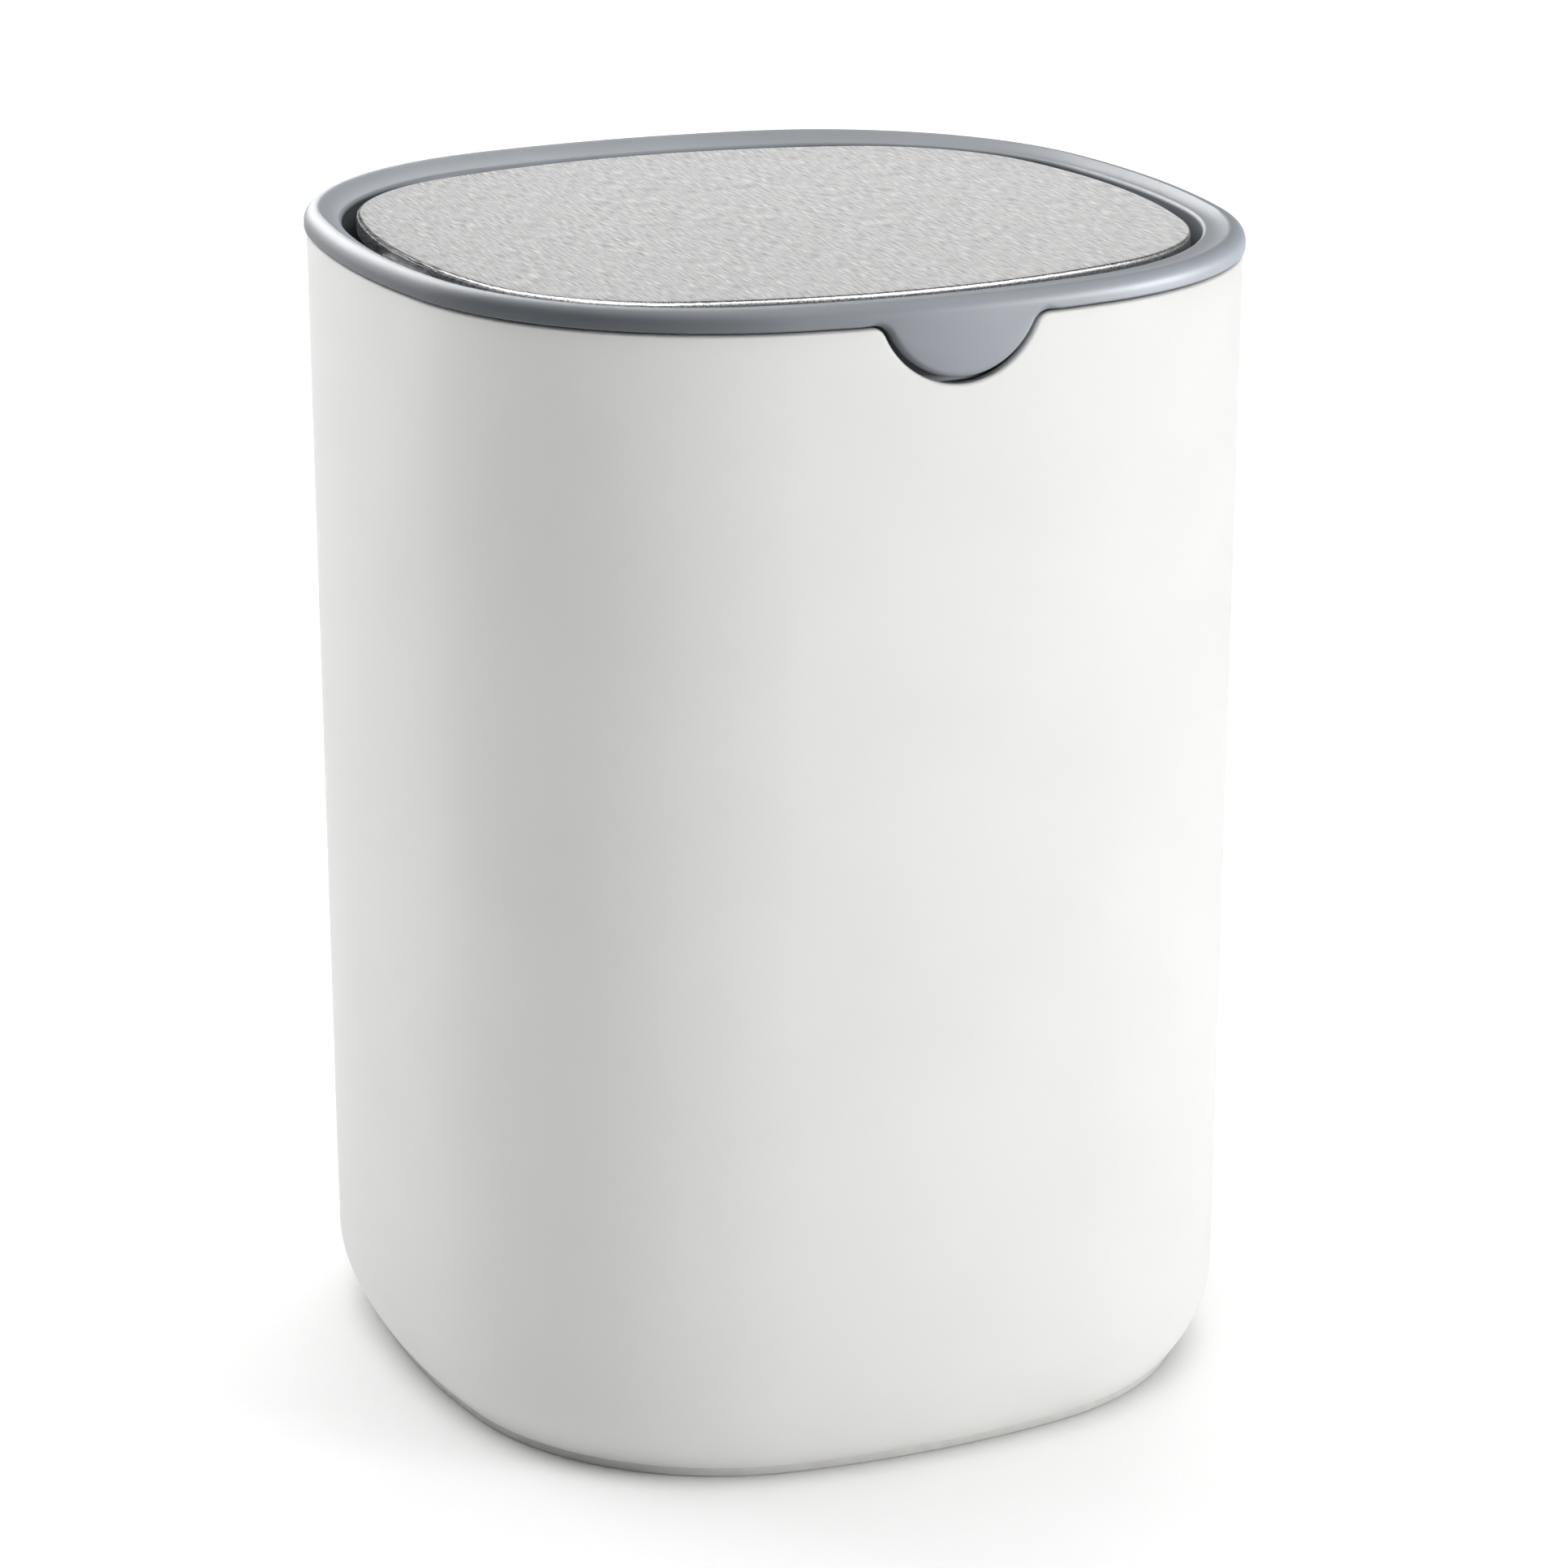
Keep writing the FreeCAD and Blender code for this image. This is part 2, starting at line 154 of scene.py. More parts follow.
def raise_piece(name, lines, is_ring):
    """A round piece from the lines of its section, in order along the section."""
    bpy.ops.object.select_all(action="DESELECT")
    bpy.ops.mesh.primitive_circle_add(vertices=len(columns), radius=shell_plan[0])
    piece = bpy.context.active_object
    piece.name = piece.data.name = name
    number = piece.data.attributes.new("column", "INT", "POINT")
    number.data.foreach_set("value", range(len(columns)))
    bpy.ops.object.mode_set(mode="EDIT")
    bpy.ops.mesh.select_all(action="SELECT")
    lay_selected(piece, lines[0])
    if not is_ring:
        bpy.ops.mesh.edge_face_add()
    for points in lines[1:] + lines[:1] * is_ring:
        bpy.ops.mesh.extrude_region_move()
        lay_selected(piece, points)
    bpy.ops.mesh.select_all(action="SELECT")
    bpy.ops.mesh.remove_doubles(threshold=merge_distance)
    bpy.ops.mesh.normals_make_consistent(inside=False)
    bpy.ops.object.mode_set(mode="OBJECT")
    piece.data.attributes.remove(piece.data.attributes["column"])
    print(name, len(lines), "lines,", len(piece.data.polygons), "faces")
    return piece


# %% [markdown]
# ## The notch and the tab, seen from the front
# The tab is a half round let into the ring's lower edge by two small fillets, and the shell has a
# notch of the same kind, a little larger all round. One function gives the height of such a scoop at
# each place along the front. Its depth moves the line to a parallel one, which the roundings need.

# %% The scoop's height
seam_height = 196.6 * mm
rim_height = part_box("outer_body")[1].z


def scoop(radius, bottom, fillet, shoulder):
    """Height of a half-round scoop in a level edge, as a function of place and of depth below it."""
    centre, fillet_height = bottom + radius, shoulder - fillet
    joined = radius + fillet
    fillet_x = math.sqrt(joined ** 2 - (centre - fillet_height) ** 2)

    def height(x, y, depth):
        touch_x = fillet_x * (radius + depth) / joined
        if y > 0 or abs(x) >= fillet_x:
            return shoulder - depth
        if abs(x) > touch_x:
            return fillet_height + math.sqrt((fillet - depth) ** 2 - (abs(x) - fillet_x) ** 2)
        return centre - math.sqrt((radius + depth) ** 2 - x ** 2)

    return height


tab_radius, tab_depth, tab_fillet = 14.0 * mm, 9.35 * mm, 3.05 * mm
notch_radius, notch_depth, notch_fillet = 14.4 * mm, 10.4 * mm, 2.6 * mm
tab_edge = scoop(tab_radius, seam_height - tab_depth, tab_fillet, seam_height)
notch_edge = scoop(notch_radius, seam_height - notch_depth, notch_fillet, rim_height)
print("tab bottom, mm:", round(tab_edge(0, -1, 0) / mm, 2))
print("notch bottom, mm:", round(notch_edge(0, -1, 0) / mm, 2))

# %% [markdown]
# ## The white shell
# On the real bin this is one injection moulding: a slightly tapered tub with a large rounded bottom
# edge, an even wall, a softly rounded rim and the notch at the front. It could be a box with bevels,
# but the bowed plan and the notch come out cleaner when the section is raised loop by loop, from the
# middle of the underside, up the outside, over the rim and down the inside to the floor.

# %% Lines of the shell's section
foot_height = 2.0 * mm
shell_wall = 2.2 * mm
inner_floor = 4.4 * mm
draft = 0.8 * mm
bottom_radius = 21.0 * mm
bottom_inset = 5.2 * mm
rim_rounding = 0.6 * mm
bend_height = foot_height + math.sqrt(bottom_radius ** 2 - (bottom_radius - bottom_inset) ** 2)
wall_levels = [level * mm for level in (30, 50, 75, 100, 125, 150)]
notch_clear_height = wall_levels[-1]
notch_shares = (0.3, 0.55, 0.75, 0.9, 1.0)
rim_steps = 5


def taper(depth_in):
    """Inset of a wall line this deep in the wall, which grows a little towards the bottom."""
    full = rim_height - bend_height + bottom_radius
    return lambda level: depth_in + draft * (rim_height - level) / full


def bottom_lines(depth_in, lowest, steps):
    """The large bottom rounding, or its inner side, from its lowest line up to the wall."""
    radius = bottom_radius - depth_in
    last = math.asin((bend_height - lowest) / radius)
    turns = [last * (1 - i / steps) for i in range(steps + 1)]
    return [plan_line(shell_plan, taper(depth_in + radius * (1 - math.cos(turn)))(0),
                      bend_height - radius * math.sin(turn)) for turn in turns]


def wall_lines(depth_in):
    """Lines up the wall. Near the rim they bend down with the notch."""
    lines = [plan_line(shell_plan, taper(depth_in), level) for level in wall_levels]
    for share in notch_shares:
        def height(x, y, share=share):
            return notch_clear_height + share * (notch_edge(x, y, rim_rounding) - notch_clear_height)
        lines.append(plan_line(shell_plan, taper(depth_in), height))
    return lines


def rim_lines(from_inset, direction):
    """The rounded edge of the rim, from the wall to its top, outwards or inwards."""
    lines = []
    for sine, cosine in quarter(rim_steps)[1:]:
        def height(x, y, depth=rim_rounding * (1 - sine)):
            return notch_edge(x, y, depth)
        inset = from_inset + direction * rim_rounding * (1 - cosine)
        lines.append(plan_line(shell_plan, inset, height))
    return lines


# %% Raise the shell
outer_bend_steps, inner_bend_steps = 18, 12
underside_insets, floor_insets = (40, 25, 13, 8), (10, 25, 40)

underside = [plan_line(shell_plan, inset * mm, foot_height) for inset in underside_insets]
outside = bottom_lines(0, foot_height, outer_bend_steps) + wall_lines(0) + rim_lines(0, 1)
inside = bottom_lines(shell_wall, inner_floor, inner_bend_steps)
inside += wall_lines(shell_wall) + rim_lines(shell_wall, -1)
floor_inside = [plan_line(shell_plan, inset * mm, inner_floor) for inset in floor_insets]
shell = raise_piece("shell", underside + outside + inside[::-1] + floor_inside, False)

# %% [markdown]
# ## The foot ring
# The bin stands on a non-slip ring pressed into a groove under the shell, set in a little from the
# bottom edge, so that only a low shaded band of it shows. It is a flat ring with softened lower edges.

# %% Raise the foot ring
foot_outer, foot_inner = 6.7 * mm, 13.5 * mm
foot_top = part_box("foot_ring")[1].z
foot_rounding = 0.5 * mm
foot_steps = 4

foot_lines = [plan_line(shell_plan, foot_outer, foot_top)]
for sine, cosine in quarter(foot_steps):
    inset = foot_outer + foot_rounding * (1 - cosine)
    foot_lines.append(plan_line(shell_plan, inset, foot_rounding * (1 - sine)))
for sine, cosine in quarter(foot_steps):
    inset = foot_inner - foot_rounding * (1 - sine)
    foot_lines.append(plan_line(shell_plan, inset, foot_rounding * (1 - cosine)))
foot_lines.append(plan_line(shell_plan, foot_inner, foot_top))
foot = raise_piece("foot", foot_lines, True)

# %% [markdown]
# ## The lid ring
# The ring is a grey moulding that sits on the shell's rim. Its outer edge is a smooth bead, its land
# dips a little as it slopes in to the opening, and the opening's edge is soft. A skirt goes down into
# the shell, and the tab hangs from the front. The land runs between two different plans, so its lines
# are drawn from one to the other. The tab comes from the same loops, pulled down at the front.

# %% Lines of the ring's outside, with the tab
ring_overhang = 0.4 * mm
ring_plan = tuple(size + ring_overhang for size in shell_plan)
ring_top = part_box("lid_ring")[1].z
bead_radius = 2.2 * mm
bead_height = ring_top - bead_radius
edge_rounding, tab_rounding = 0.35 * mm, 1.0 * mm
tab_thickness, tab_back_rounding = 2.0 * mm, 0.3 * mm
tab_blend_start, tab_blend_end = 17.5 * mm, 14.5 * mm
edge_steps, bead_steps = 6, 9
side_shares = (0.35, 0.7)


def lower_rounding(x, y):
    """Rounding of the ring's lower edge, which is larger along the tab."""
    share = (tab_blend_start - abs(x)) / (tab_blend_start - tab_blend_end)
    share = max(0.0, min(1.0, share)) if y < 0 else 0.0
    return edge_rounding + (tab_rounding - edge_rounding) * share * share * (3 - 2 * share)


def edge_line(sine, cosine):
    """One line of the rounding between the underside and the side."""
    points = []
    for angle in columns:
        out = plan_reach(ring_plan, 0, angle)
        x, y = out * math.cos(angle), out * math.sin(angle)
        rounding = lower_rounding(x, y)
        out = plan_reach(ring_plan, rounding * (1 - sine), angle)
        x, y = out * math.cos(angle), out * math.sin(angle)
        points.append(Vector((x, y, tab_edge(x, y, -rounding * (1 - cosine)))))
    return points


def blend(line, other, share):
    """The line that lies at this share of the way from one line to another."""
    return [a.lerp(b, share) for a, b in zip(line, other)]


ring_edge = [edge_line(sine, cosine) for sine, cosine in quarter(edge_steps)]
bead = [plan_line(ring_plan, bead_radius * (1 - cosine), bead_height + bead_radius * sine)
        for sine, cosine in quarter(bead_steps)]
ring_side = [blend(ring_edge[-1], bead[0], share) for share in side_shares]

# %% Lines of the land and the opening
crest_width = 0.4 * mm
land_dip = 0.18 * mm
land_low = ring_top - 1.2 * mm
opening_rounding = 0.8 * mm
skirt_bottom = 186.1 * mm
skirt_rounding = 0.3 * mm
skirt_inset = 3.0 * mm
lip_steps = 6
land_shares = (0.12, 0.25, 0.4, 0.55, 0.7, 0.85)
opening_levels = (194.0 * mm, 190.0 * mm, skirt_bottom + skirt_rounding)

crest = plan_line(ring_plan, bead_radius + crest_width, ring_top)
lip = [plan_line(opening_plan, opening_rounding * (sine - 1),
                 land_low - opening_rounding * (1 - cosine))
       for sine, cosine in quarter(lip_steps)]
land = []
for share in land_shares:
    dip = Vector((0, 0, land_dip * math.sin(math.pi * share)))
    land.append([point - dip for point in blend(crest, lip[0], share)])
opening_wall = [plan_line(opening_plan, 0, level) for level in opening_levels]
skirt = [plan_line(opening_plan, -skirt_rounding, skirt_bottom),
         plan_line(ring_plan, skirt_inset + skirt_rounding, skirt_bottom),
         plan_line(ring_plan, skirt_inset, skirt_bottom + skirt_rounding),
         plan_line(ring_plan, skirt_inset, seam_height)]


def tab_back(x, y):
    """Height of the tab's back edge, or of the underside where there is no tab."""
    return min(seam_height, tab_edge(x, y, -tab_back_rounding))


tab_lines = [plan_line(ring_plan, tab_thickness, seam_height),
             plan_line(ring_plan, tab_thickness, tab_back),
             plan_line(ring_plan, tab_thickness - tab_back_rounding,
                       lambda x, y: tab_edge(x, y, 0))]

# %% Raise the lid ring
lid_lines = ring_edge + ring_side + bead + [crest] + land + lip
lid_lines += opening_wall + skirt + tab_lines
lid = raise_piece("lid", lid_lines, True)

# %% [markdown]
# ## Bearing lugs on the ring
# Left and right, the ring has lugs that the flap's bearings sit under, and the skirt is cut away there
# for the caps that hold them. Each lug is a cube set to its size, with its edges bevelled. The pockets
# and the round seats are cut with Boolean modifiers, as one would by hand with a box and a cylinder.

# %% Lugs, pockets and seats
lug_face, lug_outer = 67.5 * mm, 72.1 * mm
lug_half_length, pocket_half_length = 10.0 * mm, 10.1 * mm
pivot_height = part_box("pivot_keeper_left")[1].z
seat_radius, seat_sides = 3.07 * mm, 48
lug_bevel, bevel_segments = 0.3 * mm, 3
cut_overrun = 5.0 * mm


def add_block(name, low, high):
    """A cube set to a box's size and place, with the place in its mesh."""
    bpy.ops.object.select_all(action="DESELECT")
    low, high = Vector(low), Vector(high)
    bpy.ops.mesh.primitive_cube_add(size=1, location=(low + high) / 2)
    block = bpy.context.active_object
    block.name, block.scale = name, high - low
    bpy.ops.object.transform_apply(location=True, rotation=True, scale=True)
    return block


def combine(piece, tool, operation):
    """Cut a tool out of a piece, or join it on, and remove the tool."""
    bpy.ops.object.select_all(action="DESELECT")
    piece.select_set(True)
    bpy.context.view_layer.objects.active = piece
    cut = piece.modifiers.new(tool.name, "BOOLEAN")
    cut.operation, cut.object, cut.solver = operation, tool, "EXACT"
    bpy.ops.object.modifier_apply(modifier=cut.name)
    bpy.data.objects.remove(tool)


for side in (-1, 1):
    inner, outer = sorted((side * lug_face, side * lug_outer))
    lug = add_block("lug", (inner, -lug_half_length, pivot_height),
                    (outer, lug_half_length, seam_height))
    bpy.ops.object.mode_set(mode="EDIT")
    bpy.ops.mesh.select_all(action="SELECT")
    bpy.ops.mesh.bevel(offset=lug_bevel, segments=bevel_segments)
    bpy.ops.object.mode_set(mode="OBJECT")
    far = side * (lug_outer + cut_overrun)
    near = side * (lug_face - cut_overrun)
    low_x, high_x = sorted((near, far))
    pocket_low = (low_x, -pocket_half_length, skirt_bottom - cut_overrun)
    pocket = add_block("pocket", pocket_low, (high_x, pocket_half_length, pivot_height))
    combine(lid, pocket, "DIFFERENCE")
    combine(lid, lug, "UNION")
    bpy.ops.mesh.primitive_cylinder_add(vertices=seat_sides, radius=seat_radius,
                                        depth=abs(far - near),
                                        location=((near + far) / 2, 0, pivot_height),
                                        rotation=(0, math.radians(90), 0))
    combine(lid, bpy.context.active_object, "DIFFERENCE")
print("lid with lugs has", len(lid.data.polygons), "faces")

# %% [markdown]
# ## The steel flap
# The flap's cover is pressed from thin stainless sheet: a flat top, a rounded edge and a short rim
# turned down all round. It is raised from the middle of its underside, round the rim and back over
# the top, so the sheet has its real thickness where the rim shows beside the gap. Compared with the
# photograph, it has to sit half a millimetre lower than in the CAD, with a tighter edge.

# %% Raise the steel cover
cover_settling = 0.5 * mm
cover_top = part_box("flap_cover")[1].z - cover_settling
cover_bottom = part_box("flap_cover")[0].z
cover_sheet = 0.6 * mm
cover_bend = 0.7 * mm
burr = 0.12 * mm
bend_start = cover_top - cover_bend
inner_bend = cover_bend - cover_sheet
under_insets, top_insets = (30, 14, 5), (2.5, 5, 14, 30)
inner_steps, outer_steps = 5, 10

ceiling = cover_top - cover_sheet
cover_lines = [plan_line(flap_plan, inset * mm, ceiling) for inset in under_insets]
for sine, cosine in quarter(inner_steps):
    inset = cover_bend - inner_bend * sine
    cover_lines.append(plan_line(flap_plan, inset, bend_start + inner_bend * cosine))
cover_lines += [plan_line(flap_plan, cover_sheet, cover_bottom + burr),
                plan_line(flap_plan, cover_sheet - burr, cover_bottom),
                plan_line(flap_plan, burr, cover_bottom),
                plan_line(flap_plan, 0, cover_bottom + burr)]
for sine, cosine in quarter(outer_steps):
    inset = cover_bend * (1 - cosine)
    cover_lines.append(plan_line(flap_plan, inset, bend_start + cover_bend * sine))
cover_lines += [plan_line(flap_plan, inset * mm, cover_top) for inset in top_insets]
cover = raise_piece("cover", cover_lines, False)

# %% [markdown]
# ## Smooth shading and riding
# Mouldings and pressings look smooth except at real edges, so each piece is shaded smooth up to an
# angle. Each piece is listed with the CAD node that it stands for, the body that it moves with and a
# finish name, which is not used; it rides on that body, and its CAD node is hidden.

# %% Shade and place the pieces
smooth_limit = math.radians(32)
places = [(shell, "outer_body", "bin", "body_plastic"),
          (foot, "foot_ring", "bin", "foot_elastomer"),
          (lid, "lid_ring", "lid", "ring_plastic"),
          (cover, "flap_cover", "flap", "cover_steel")]
for piece, node, body, finish in places:
    bpy.ops.object.select_all(action="DESELECT")
    piece.select_set(True)
    bpy.context.view_layer.objects.active = piece
    bpy.ops.object.shade_smooth_by_angle(angle=smooth_limit)
    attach(piece, body)
    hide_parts(node)
    print(piece.name, "stands for", node, "and rides on", body)

# %% [markdown]
# ## How the finishes are written
# Colours are picked as screen values, and Blender works in linear light, so one function converts
# them. Another adds a shader node, sets it and links it, which keeps each finish short to read. A
# ramp's two stops hold a finish's darker and lighter tone. All patterns use Object coordinates in
# metres, so a pattern's scale is one over its real size.

# %% Colour and node helpers
tone_stops = (0.3, 0.7)


def colour(code):
    """A screen colour written as six hex digits, in linear light."""
    screen = [int(code[i:i + 2], 16) / 255 for i in (1, 3, 5)]
    linear = [v / 12.92 if v <= 0.04045 else ((v + 0.055) / 1.055) ** 2.4 for v in screen]
    return (*linear, 1.0)


def add_node(tree, kind, inputs=None, tones=None, **settings):
    """Add a node, with its settings and tones, and set or link its inputs by name or number."""
    made = tree.nodes.new(kind)
    for name, value in settings.items():
        setattr(made, name, value)
    for stop, code in enumerate(tones or ()):
        element = made.color_ramp.elements[stop]
        element.position, element.color = tone_stops[stop], colour(code)
    for name, value in (inputs or {}).items():
        if isinstance(value, bpy.types.NodeSocket):
            tree.links.new(value, made.inputs[name])
        else:
            made.inputs[name].default_value = value
    return made


def new_finish(name):
    """An empty material with its output, and the Object coordinates that its patterns read."""
    finish = bpy.data.materials.new(name)
    finish.use_nodes = True
    finish.node_tree.nodes.clear()
    place = add_node(finish.node_tree, "ShaderNodeTexCoord").outputs["Object"]
    return finish, finish.node_tree, place


print("mid grey reads", [round(v, 3) for v in colour("#808080")])

# %% [markdown]
# ## White moulded polypropylene
# The shell's mould was spark-eroded, which leaves a fine matte grain and a soft, broad sheen. The
# plastic is an almost neutral white. The grain is about 0.2 mm, too fine to show at this distance, so
# it is drawn at 0.45 mm. A slow change of tone keeps the large plain wall from looking painted flat.

# %% Shell finish
grain_size, tone_size = 0.45 * mm, 35 * mm
shell_finish, tree, place = new_finish("white_moulded_polypropylene")
grain = add_node(tree, "ShaderNodeTexNoise",
                 {"Vector": place, "Scale": 1 / grain_size, "Detail": 2.0})
tone = add_node(tree, "ShaderNodeTexNoise",
                {"Vector": place, "Scale": 1 / tone_size, "Detail": 1.0})
tint = add_node(tree, "ShaderNodeValToRGB", {"Fac": tone.outputs["Fac"]},
                tones=("#E8E8E6", "#EBEBE9"))
sheen = add_node(tree, "ShaderNodeMapRange",
                 {"Value": grain.outputs["Fac"], "To Min": 0.44, "To Max": 0.58})
relief = add_node(tree, "ShaderNodeBump",
                  {"Height": grain.outputs["Fac"], "Strength": 0.12, "Distance": 0.03 * mm})
plastic = add_node(tree, "ShaderNodeBsdfPrincipled", {
    "Base Color": tint.outputs["Color"], "Roughness": sheen.outputs["Result"], "IOR": 1.49,
    "Normal": relief.outputs["Normal"]})
add_node(tree, "ShaderNodeOutputMaterial", {"Surface": plastic.outputs["BSDF"]})
shell.data.materials.append(shell_finish)
print("finished", shell.name)

# %% [markdown]
# ## White elastomer
# The foot is a soft moulded elastomer, which grips the worktop. It is duller than the shell, with a
# faint dusty mottling and no gloss. One noise gives the mottling, and a finer one the skin's relief.

# %% Foot finish
dust_size, skin_size = 2.5 * mm, 0.4 * mm
foot_finish, tree, place = new_finish("white_elastomer")
dust = add_node(tree, "ShaderNodeTexNoise",
                {"Vector": place, "Scale": 1 / dust_size, "Detail": 4.0})
skin = add_node(tree, "ShaderNodeTexNoise",
                {"Vector": place, "Scale": 1 / skin_size, "Detail": 2.0})
tint = add_node(tree, "ShaderNodeValToRGB", {"Fac": dust.outputs["Fac"]},
                tones=("#DEDDDA", "#E5E4E1"))
relief = add_node(tree, "ShaderNodeBump",
                  {"Height": skin.outputs["Fac"], "Strength": 0.2, "Distance": 0.03 * mm})
dull = add_node(tree, "ShaderNodeMapRange",
                {"Value": skin.outputs["Fac"], "To Min": 0.7, "To Max": 0.85})
rubber = add_node(tree, "ShaderNodeBsdfPrincipled", {
    "Base Color": tint.outputs["Color"], "Roughness": dull.outputs["Result"], "IOR": 1.5,
    "Normal": relief.outputs["Normal"]})
add_node(tree, "ShaderNodeOutputMaterial", {"Surface": rubber.outputs["BSDF"]})
foot.data.materials.append(foot_finish)
print("finished", foot.name)

# %% [markdown]
# ## Blue-grey satin ABS
# The lid ring is a harder plastic from a finer mould, so it has a satin gloss: a clear soft highlight
# along the bead and a lighter, even land. Its grain of about 0.1 mm is drawn at 0.35 mm to show.

# %% Lid ring finish
ring_grain_size, ring_tone_size = 0.35 * mm, 22 * mm
ring_finish, tree, place = new_finish("blue_grey_satin_abs")
grain = add_node(tree, "ShaderNodeTexNoise",
                 {"Vector": place, "Scale": 1 / ring_grain_size, "Detail": 2.0})
tone = add_node(tree, "ShaderNodeTexNoise",
                {"Vector": place, "Scale": 1 / ring_tone_size, "Detail": 2.0})
tint = add_node(tree, "ShaderNodeValToRGB", {"Fac": tone.outputs["Fac"]},
                tones=("#64686D", "#696D72"))
sheen = add_node(tree, "ShaderNodeMapRange",
                 {"Value": grain.outputs["Fac"], "To Min": 0.46, "To Max": 0.58})
relief = add_node(tree, "ShaderNodeBump",
                  {"Height": grain.outputs["Fac"], "Strength": 0.08, "Distance": 0.02 * mm})
plastic = add_node(tree, "ShaderNodeBsdfPrincipled", {
    "Base Color": tint.outputs["Color"], "Roughness": sheen.outputs["Result"], "IOR": 1.5,
    "Normal": relief.outputs["Normal"]})
add_node(tree, "ShaderNodeOutputMaterial", {"Surface": plastic.outputs["BSDF"]})
lid.data.materials.append(ring_finish)
print("finished", lid.name)

# %% [markdown]
# ## Brushed stainless steel
# The sheet was brushed with an abrasive belt from front to back, which leaves short streaks side by
# side. They differ in tone, roughness and height. A real scratch is under 0.1 mm wide, so the streaks
# are drawn 0.22 mm wide and about 4 mm long, and a broader set is added to them in the relief.

# %% Steel cover finish
streak_width, streak_length = 0.22 * mm, 4.2 * mm
band_width, band_length = 0.6 * mm, 6 * mm
streak_scale = (1 / streak_width, 1 / streak_length, 1 / streak_width)
band_scale = (1 / band_width, 1 / band_length, 1 / band_width)
steel_finish, tree, place = new_finish("brushed_stainless_steel")
along_streak = add_node(tree, "ShaderNodeMapping", {"Vector": place, "Scale": streak_scale})
along_band = add_node(tree, "ShaderNodeMapping", {"Vector": place, "Scale": band_scale})
streak = add_node(tree, "ShaderNodeTexNoise",
                  {"Vector": along_streak.outputs["Vector"], "Scale": 1.0, "Detail": 2.0})
band = add_node(tree, "ShaderNodeTexNoise",
                {"Vector": along_band.outputs["Vector"], "Scale": 1.0, "Detail": 2.0})
tint = add_node(tree, "ShaderNodeValToRGB", {"Fac": streak.outputs["Fac"]},
                tones=("#868686", "#FAFAF9"))
mixed = add_node(tree, "ShaderNodeMath",
                 {0: streak.outputs["Fac"], 1: band.outputs["Fac"]}, operation="ADD")
halved = add_node(tree, "ShaderNodeMath",
                  {0: mixed.outputs["Value"], 1: 0.5}, operation="MULTIPLY")
gloss = add_node(tree, "ShaderNodeMapRange",
                 {"Value": streak.outputs["Fac"], "To Min": 0.24, "To Max": 0.44})
relief = add_node(tree, "ShaderNodeBump",
                  {"Height": halved.outputs["Value"], "Strength": 0.25, "Distance": 0.02 * mm})
steel = add_node(tree, "ShaderNodeBsdfPrincipled", {
    "Base Color": tint.outputs["Color"], "Metallic": 1.0,
    "Roughness": gloss.outputs["Result"], "Normal": relief.outputs["Normal"]})
add_node(tree, "ShaderNodeOutputMaterial", {"Surface": steel.outputs["BSDF"]})
cover.data.materials.append(steel_finish)
print("finished", cover.name)

# %% [markdown]
# ## Pieces inside the lid
# The carrier, its counterweight, the bearings and the screws are CAD nodes whose shapes are right, so
# they stay and only get their finishes: dark matte plastic, natural acetal, zinc-plated steel, bright
# steel and foam tape. They share one recipe: a fine relief, a mottled tone and an uneven gloss.

# %% Inner finishes
# Each look: its two tones, metallic, roughness from and to, pattern size, relief and the nodes
inner_looks = {
    "dark_moulded_plastic": (("#2A2C2F", "#303236"), 0.0, (0.5, 0.64), 0.4 * mm, 0.15,
                             ["flap_carrier", "pivot_keeper_left", "pivot_keeper_right"]),
    "natural_acetal": (("#E3E0D6", "#EAE7DE"), 0.0, (0.24, 0.34), 0.6 * mm, 0.05,
                       ["pivot_bush_left", "pivot_bush_right"]),
    "zinc_plated_steel": (("#868886", "#8E908E"), 1.0, (0.34, 0.46), 0.8 * mm, 0.04,
                          ["counterweight"]),
    "bright_steel": (("#C2C2C1", "#D0D0CF"), 1.0, (0.2, 0.32), 0.5 * mm, 0.1,
                     ["keeper_screws", "counterweight_screws",
                      "pivot_pin_left", "pivot_pin_right"]),
    "grey_foam_tape": (("#5A5B5D", "#6A6B6D"), 0.0, (0.8, 0.95), 0.5 * mm, 0.6,
                       ["adhesive_strips"]),
}
for name, (tones, metallic, (smoothest, roughest), size, strength, nodes) in inner_looks.items():
    finish, tree, place = new_finish(name)
    skin = add_node(tree, "ShaderNodeTexNoise",
                    {"Vector": place, "Scale": 1 / size, "Detail": 3.0})
    tint = add_node(tree, "ShaderNodeValToRGB", {"Fac": skin.outputs["Fac"]}, tones=tones)
    gloss = add_node(tree, "ShaderNodeMapRange",
                     {"Value": skin.outputs["Fac"], "To Min": smoothest, "To Max": roughest})
    relief = add_node(tree, "ShaderNodeBump", {
        "Height": skin.outputs["Fac"], "Strength": strength, "Distance": 0.05 * mm})
    surface = add_node(tree, "ShaderNodeBsdfPrincipled", {
        "Base Color": tint.outputs["Color"], "Metallic": metallic,
        "Roughness": gloss.outputs["Result"], "Normal": relief.outputs["Normal"]})
    add_node(tree, "ShaderNodeOutputMaterial", {"Surface": surface.outputs["BSDF"]})
    for node in nodes:
        for material_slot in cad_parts[node].material_slots:
            material_slot.material = finish
    print(name, "on", ", ".join(nodes))

# %% [markdown]
# ## White paper floor
# The bin stands on a plain white paper that fades out behind it. A flat plane does, because the
# picture never reaches the plane's edge. Its tone changes very slightly, as paper's does.

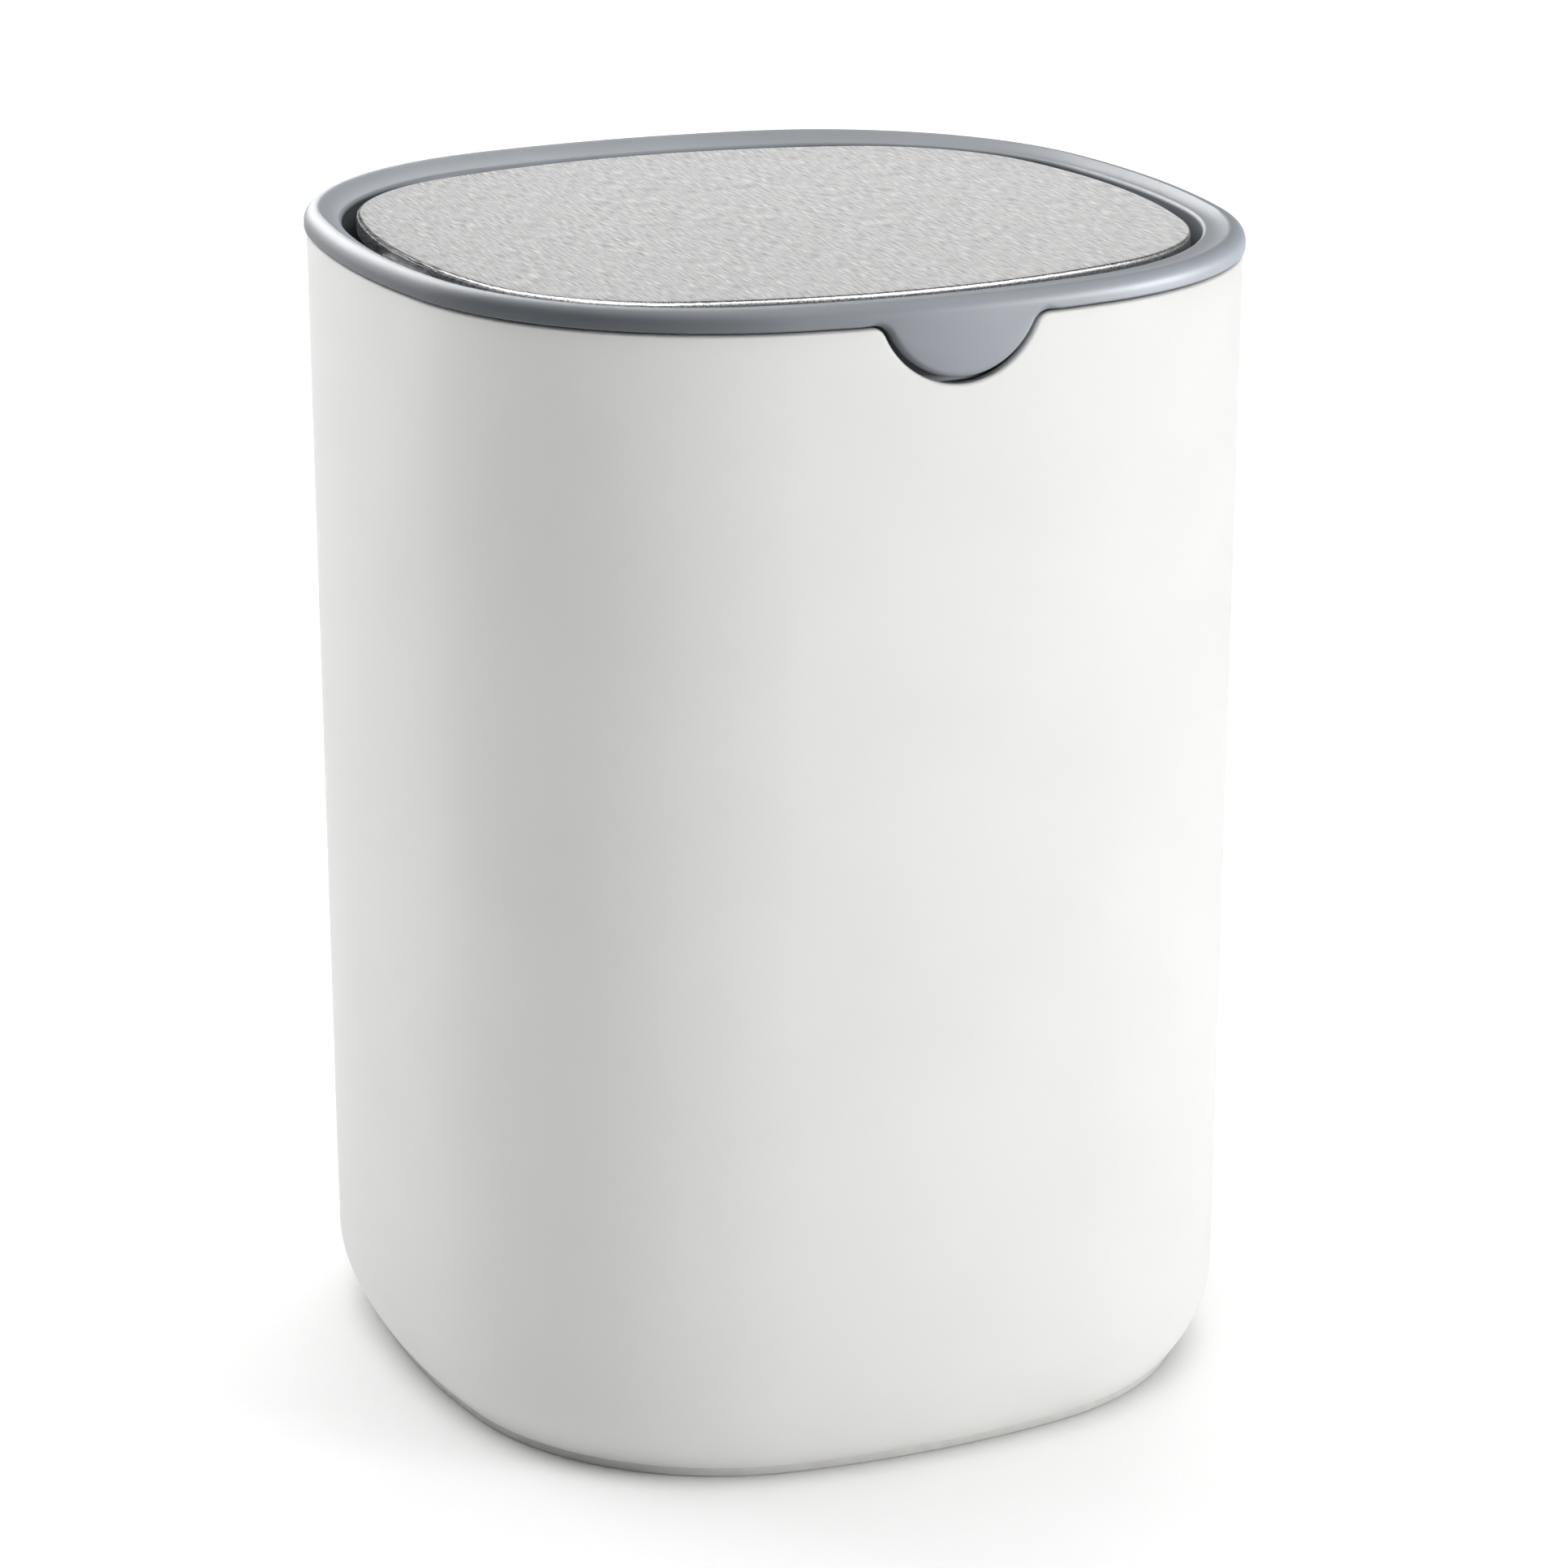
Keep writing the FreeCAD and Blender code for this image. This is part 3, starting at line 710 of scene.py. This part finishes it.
# %% Floor
floor_size = 14.0
fibre_size = 60 * mm
bpy.ops.object.select_all(action="DESELECT")
bpy.ops.mesh.primitive_plane_add(size=floor_size)
floor = bpy.context.active_object
floor.name = "floor"
floor_finish, tree, place = new_finish("white_paper_sweep")
fibre = add_node(tree, "ShaderNodeTexNoise",
                 {"Vector": place, "Scale": 1 / fibre_size, "Detail": 2.0})
tint = add_node(tree, "ShaderNodeValToRGB", {"Fac": fibre.outputs["Fac"]},
                tones=("#F6F6F6", "#F8F8F8"))
paper = add_node(tree, "ShaderNodeBsdfPrincipled",
                 {"Base Color": tint.outputs["Color"], "Roughness": 0.9})
add_node(tree, "ShaderNodeOutputMaterial", {"Surface": paper.outputs["BSDF"]})
floor.data.materials.append(floor_finish)
print("floor is", floor_size, "m wide")

# %% [markdown]
# ## Studio light
# One large softbox overhead lights the bin and the floor. A small low one at the front right makes
# the bright side, and two low ones behind lift the edges. The room is dark towards the front left,
# which gives the shell its soft grey shade. The other softboxes are for a single piece, as cards and
# flags are in a studio: they keep the floor white, and show the steel and the ring on all sides.

# %% Room and softboxes
room_strength = 0.02
scene = bpy.context.scene
room = bpy.data.worlds.new("studio_room")
room.use_nodes = True
scene.world = room
tree = room.node_tree
tree.nodes.clear()
sky = add_node(tree, "ShaderNodeBackground", {"Color": (1, 1, 1, 1), "Strength": room_strength})
add_node(tree, "ShaderNodeOutputWorld", {"Surface": sky.outputs["Background"]})


def add_softbox(name, place, target, width, height, power):
    """A rectangular lamp that faces a point."""
    lamp = bpy.data.lights.new(name, "AREA")
    lamp.shape, lamp.size, lamp.size_y, lamp.energy = "RECTANGLE", width, height, power
    softbox = bpy.data.objects.new(name, lamp)
    scene.collection.objects.link(softbox)
    softbox.location, softbox.visible_camera = place, False
    softbox.rotation_euler = (Vector(target) - Vector(place)).to_track_quat("-Z", "Y").to_euler()
    return softbox


def flag(softbox, state, *pieces):
    """Keep a lamp's light on some pieces alone, or off those pieces."""
    flagged = bpy.data.collections.new(softbox.name + "_flag")
    for piece in pieces:
        flagged.objects.link(piece)
    for member in flagged.collection_objects:
        member.light_linking.link_state = state
    softbox.light_linking.receiver_collection = flagged


# Each lamp: its place, the point it faces, width and height in metres, power in watts, and the
# pieces that it lights alone (INCLUDE) or leaves out (EXCLUDE)
bin_middle = (0, 0, 0.12)
lamps = {
    "overhead": ((0, 0, 1.8), bin_middle, (2.4, 2.4), 45.9, "EXCLUDE", [cover]),
    "key_low_right": ((0.935, -1.038, 0.24), bin_middle, (0.5, 0.4), 8.8, "EXCLUDE", [cover, floor]),
    "key_floor": ((0.935, -1.038, 0.6), bin_middle, (0.5, 0.4), 4.8, "INCLUDE", [floor]),
    "low_back_left": ((-0.728, 1.260, 0.483), bin_middle, (0.9, 0.7), 8.0, "EXCLUDE", [cover]),
    "low_back": ((0.728, 1.260, 0.483), bin_middle, (0.9, 0.7), 2.5, "EXCLUDE", [lid]),
    "far_floor": ((0.75, 1.8, 1.0), (0.75, 1.8, 0), (2.4, 1.4), 10, "INCLUDE", [floor]),
    "near_floor": ((-0.45, -1.05, 0.9), (0, -0.1, 0), (0.8, 0.8), 1.2, "INCLUDE", [floor]),
    "wash_back": ((0, 4.5, 0.5), (0, 4.5, 0), (3.8, 5.2), 46, "INCLUDE", [floor]),
    "wash_front": ((0, -4.5, 0.5), (0, -4.5, 0), (3.8, 5.2), 46, "INCLUDE", [floor]),
    "wash_left": ((-4.5, 0, 0.5), (-4.5, 0, 0), (5.2, 14.2), 172, "INCLUDE", [floor]),
    "wash_right": ((4.5, 0, 0.5), (4.5, 0, 0), (5.2, 14.2), 172, "INCLUDE", [floor]),
    "steel_left": ((-0.70, 0.70, 1.38), bin_middle, (1.2, 1.2), 14, "INCLUDE", [cover]),
    "steel_front": ((0, -1.4, 0.62), bin_middle, (2.4, 1.0), 4.0, "INCLUDE", [cover]),
    "steel_side_left": ((-1.4, 0, 0.62), bin_middle, (2.4, 1.0), 4.0, "INCLUDE", [cover]),
    "steel_side_right": ((1.4, -0.3, 0.62), bin_middle, (1.8, 1.0), 3.0, "INCLUDE", [cover]),
    "steel_front_left": ((-0.70, -0.70, 1.38), bin_middle, (1.2, 1.2), 20, "INCLUDE", [cover]),
    "steel_front_right": ((0.70, -0.70, 1.38), bin_middle, (1.2, 1.2), 20, "INCLUDE", [cover]),
    "ring_right": ((1.180, -0.681, 0.380), bin_middle, (0.8, 0.5), 46, "INCLUDE", [lid]),
    "ring_back": ((-0.08, 1.322, 0.840), bin_middle, (0.9, 0.7), 25, "INCLUDE", [lid]),
}
for name, (place, target, size, power, state, pieces) in lamps.items():
    flag(add_softbox(name, place, target, *size, power), state, *pieces)

# %% [markdown]
# ## Camera
# The photograph was taken from the front left, a little above the lid, with a long lens. The camera's
# place, its axes and its lens were fitted to the bin's outline in the photograph. A gamma a little
# below one brings the picture to the photograph's contrast.

# %% Camera
scene.view_settings.view_transform = "Standard"
scene.view_settings.gamma = 0.9
lens = bpy.data.cameras.new("photo_camera")
lens.sensor_width, lens.lens = 36.0, 113.853
camera = bpy.data.objects.new("photo_camera", lens)
scene.collection.objects.link(camera)
camera_place = Vector((-0.3349, -0.7552, 0.3638))
right = Vector((0.9130, -0.4080, 0))
up = Vector((0.1247, 0.2791, 0.9521))
back = Vector((-0.3885, -0.8693, 0.3057))
turned = Matrix((right, up, back)).transposed().to_4x4()
camera.matrix_world = Matrix.Translation(camera_place) @ turned
scene.camera = camera
print("camera at", [round(v, 3) for v in camera.location])
